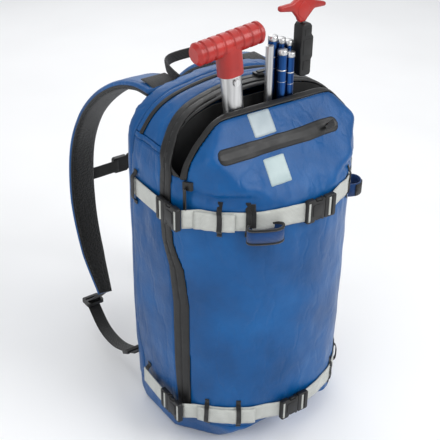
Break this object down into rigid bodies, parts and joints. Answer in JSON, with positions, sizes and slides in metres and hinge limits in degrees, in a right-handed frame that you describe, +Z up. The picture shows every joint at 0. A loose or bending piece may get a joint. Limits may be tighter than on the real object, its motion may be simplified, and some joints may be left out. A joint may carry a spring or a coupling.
{
  "type": "ski backpack",
  "caption": "Ski touring backpack in coated fabric with an open front tool pocket, compression straps, shoulder harness, shovel handle and probe.",
  "frame": {"origin": "centre of the flat base", "axes": "+Z up, +Y towards the wearer's back, +X towards the side with the round gear loop"},
  "size_m": [0.3241, 0.4519, 0.598],
  "materials": {
    "blue_fabric": "coated tarpaulin, semi-gloss",
    "black_webbing": "woven",
    "light_webbing": "woven",
    "zip_tape": "satin",
    "black_plastic": "satin",
    "mesh": "spacer mesh",
    "lining": "matt",
    "reflective": "reflective",
    "patch": "satin",
    "shaft_metal": "satin anodised",
    "red_plastic": "satin",
    "probe_blue": "anodised"
  },
  "bodies": {
    "bag": {"back_panel": "blue_fabric", "base_panel": "blue_fabric", "side_panel_left": "blue_fabric", "side_panel_right": "blue_fabric", "side_welts": "blue_fabric", "top_yoke_rear": "blue_fabric", "top_yoke_front": "blue_fabric", "rear_zip_tape": "zip_tape", "main_zip_tape": "zip_tape", "front_panel": "blue_fabric", "pocket_rim": "blue_fabric", "pocket_divider": "lining", "pocket_floor": "lining", "back_pad": "mesh", "strap_lower_front": "light_webbing", "strap_lower_right": "light_webbing", "strap_upper_front": "light_webbing", "strap_upper_right": "light_webbing", "strap_buckle_sockets": "black_plastic", "side_loops": "black_webbing", "strap_keepers": "black_webbing", "axe_loop": "blue_fabric", "axe_loop_trim": "black_webbing", "gear_loop": "blue_fabric", "gear_loop_web": "black_webbing", "shoulder_shell_left": "blue_fabric", "shoulder_mesh_left": "mesh", "shoulder_shell_right": "blue_fabric", "shoulder_mesh_right": "mesh", "lower_webs": "black_webbing", "ladder_locks": "black_plastic", "sternum_web_left": "black_webbing", "sternum_web_right": "black_webbing", "sternum_socket": "black_plastic", "sternum_sliders": "black_plastic", "main_zip_slider": "black_plastic"},
    "flap": {"front_flap": "blue_fabric", "flap_zip_tape": "zip_tape", "pocket_zip_strip": "zip_tape", "reflective_tab": "reflective", "flap_patch": "patch", "flap_zip_slider": "black_plastic"},
    "flap_pull": {"flap_zip_pull": "black_webbing"},
    "main_pull": {"main_zip_pull": "black_webbing"},
    "haul": {"haul_handle": "black_webbing"},
    "shovel": {"shovel_shaft": "shaft_metal", "shovel_grip": "red_plastic"},
    "button": {"shovel_button": "shaft_metal"},
    "probe": {"probe_tubes": "probe_blue", "probe_bright_section": "shaft_metal", "probe_lock": "black_plastic"},
    "probe_grip": {"probe_pull": "red_plastic"},
    "lower_side": {"clip_lower_side": "black_plastic", "strap_lower_side": "light_webbing"},
    "upper_side": {"clip_upper_side": "black_plastic", "strap_upper_side": "light_webbing"},
    "lower_front": {"clip_lower_front": "black_plastic"},
    "upper_front": {"clip_upper_front": "black_plastic"},
    "sternum": {"sternum_clip": "black_plastic"}
  },
  "joints": [
    {"name": "flap_hinge", "type": "hinge", "parent": "bag", "child": "flap", "pos_m": [0, -0.1087, 0.392], "axis": [1, 0, 0], "range_deg": [0, 40]},
    {"name": "flap_pull_hinge", "type": "hinge", "parent": "flap", "child": "flap_pull", "pos_m": [-0.1354, -0.0551, 0.405], "axis": [0, 1, 0], "range_deg": [0, 60]},
    {"name": "main_pull_hinge", "type": "hinge", "parent": "bag", "child": "main_pull", "pos_m": [0.0209, 0.013, 0.4951], "axis": [0, -1, 0], "range_deg": [0, 100]},
    {"name": "haul_hinge", "type": "hinge", "parent": "bag", "child": "haul", "pos_m": [0, 0.0835, 0.4825], "axis": [1, 0, 0], "range_deg": [0, 80]},
    {"name": "shovel_slide", "type": "slide", "parent": "bag", "child": "shovel", "axis": [-0.1132, 0, 0.9936], "range_m": [0, 0.31]},
    {"name": "button_press", "type": "slide", "parent": "shovel", "child": "button", "axis": [0, 1, 0], "range_m": [0, 0.0025], "stiffness_N_per_m": 300},
    {"name": "probe_slide", "type": "slide", "parent": "bag", "child": "probe", "axis": [0, 0, 1], "range_m": [0, 0.32]},
    {"name": "probe_pull_slide", "type": "slide", "parent": "probe", "child": "probe_grip", "axis": [0, 0, 1], "range_m": [0, 0.06]},
    {"name": "lower_side_release", "type": "slide", "parent": "bag", "child": "lower_side", "axis": [0, 1, 0], "range_m": [0, 0.025]},
    {"name": "upper_side_release", "type": "slide", "parent": "bag", "child": "upper_side", "axis": [0, 1, 0], "range_m": [0, 0.025]},
    {"name": "lower_front_release", "type": "slide", "parent": "bag", "child": "lower_front", "axis": [1, 0, 0], "range_m": [0, 0.025]},
    {"name": "upper_front_release", "type": "slide", "parent": "bag", "child": "upper_front", "axis": [1, 0, 0], "range_m": [0, 0.025]},
    {"name": "sternum_release", "type": "slide", "parent": "bag", "child": "sternum", "axis": [1, 0, 0], "range_m": [0, 0.025]}
  ]
}
